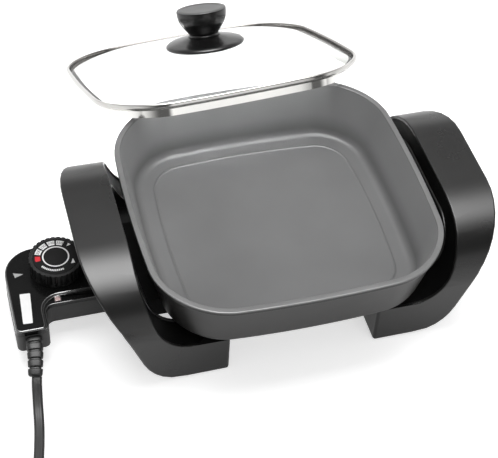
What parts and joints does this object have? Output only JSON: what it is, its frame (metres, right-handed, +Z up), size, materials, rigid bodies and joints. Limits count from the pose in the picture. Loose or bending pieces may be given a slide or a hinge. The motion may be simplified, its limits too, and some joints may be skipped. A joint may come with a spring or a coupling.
{
  "type": "electric skillet",
  "caption": "Rounded-square electric skillet with wrap-round handles on feet, glass lid leaned behind it, and plug-in heat control with dial and cord.",
  "frame": {"origin": "bottom centre of the box round the skillet, its lid and its control, without the cord, coil and plug; the table is z = 0", "axes": "+X towards the right handle, +Y from the front of the pan towards the lid leaned behind it, +Z up"},
  "size_m": [0.509, 0.7416, 0.1534],
  "materials": {
    "pan_coating": "satin grey non-stick coat on cast aluminium",
    "charcoal_plastic": "satin charcoal",
    "black_plastic": "matte black",
    "gloss_black": "gloss",
    "plated_steel": "satin",
    "band_chrome": "polished",
    "contact_brass": "satin",
    "bead_ceramic": "matte",
    "clear_glass": "polished",
    "lens_red": "gloss",
    "pad_rubber": "matte",
    "cord_rubber": "matte"
  },
  "bodies": {
    "skillet": {"pan": "pan_coating", "heating_element": "plated_steel", "terminal_pin_front": "plated_steel", "terminal_pin_rear": "plated_steel", "terminal_insulator_front": "bead_ceramic", "terminal_insulator_rear": "bead_ceramic", "terminal_shroud": "plated_steel", "right_handle": "charcoal_plastic", "right_handle_liner": "black_plastic", "right_heat_guard": "black_plastic", "right_bridge": "black_plastic", "right_pan_screw_front": "plated_steel", "right_leg_screw_front": "plated_steel", "right_foot_pad_front": "pad_rubber", "right_pan_screw_rear": "plated_steel", "right_leg_screw_rear": "plated_steel", "right_foot_pad_rear": "pad_rubber", "left_handle": "charcoal_plastic", "left_handle_liner": "black_plastic", "left_heat_guard": "black_plastic", "left_bridge": "black_plastic", "left_pan_screw_front": "plated_steel", "left_leg_screw_front": "plated_steel", "left_foot_pad_front": "pad_rubber", "left_pan_screw_rear": "plated_steel", "left_leg_screw_rear": "plated_steel", "left_foot_pad_rear": "pad_rubber"},
    "lid": {"lid_band": "band_chrome", "lid_glass": "clear_glass", "knob_base": "gloss_black", "knob": "gloss_black", "knob_seal": "pad_rubber", "knob_washer": "plated_steel", "knob_screw": "plated_steel"},
    "control": {"control_lower_shell": "black_plastic", "control_upper_shell": "gloss_black", "control_screw_1": "plated_steel", "control_screw_2": "plated_steel", "control_screw_3": "plated_steel", "control_nose": "black_plastic", "probe": "band_chrome", "contact_sleeve_front": "contact_brass", "contact_sleeve_rear": "contact_brass", "thermostat_frame": "plated_steel", "contact_arm_front": "contact_brass", "contact_arm_rear": "contact_brass", "lamp_lens": "lens_red", "indicator_lamp": "clear_glass", "strain_relief": "cord_rubber", "cord_run": "cord_rubber", "cord_coil": "cord_rubber", "cord_tie": "black_plastic", "plug": "cord_rubber", "plug_blade_front": "contact_brass", "plug_blade_rear": "contact_brass"},
    "dial": {"dial": "gloss_black", "dial_plate": "black_plastic", "dial_shaft": "contact_brass"}
  },
  "joints": [
    {"name": "lid_lift", "type": "slide", "parent": "skillet", "child": "lid", "axis": [0, 0, 1], "range_m": [0, 0.2]},
    {"name": "control_unplug", "type": "slide", "parent": "skillet", "child": "control", "axis": [-1, 0, 0], "range_m": [0, 0.1]},
    {"name": "dial_turn", "type": "hinge", "parent": "control", "child": "dial", "pos_m": [-0.194, -0.1128, 0.052], "axis": [0, 0, 1], "range_deg": [0, 150]}
  ]
}
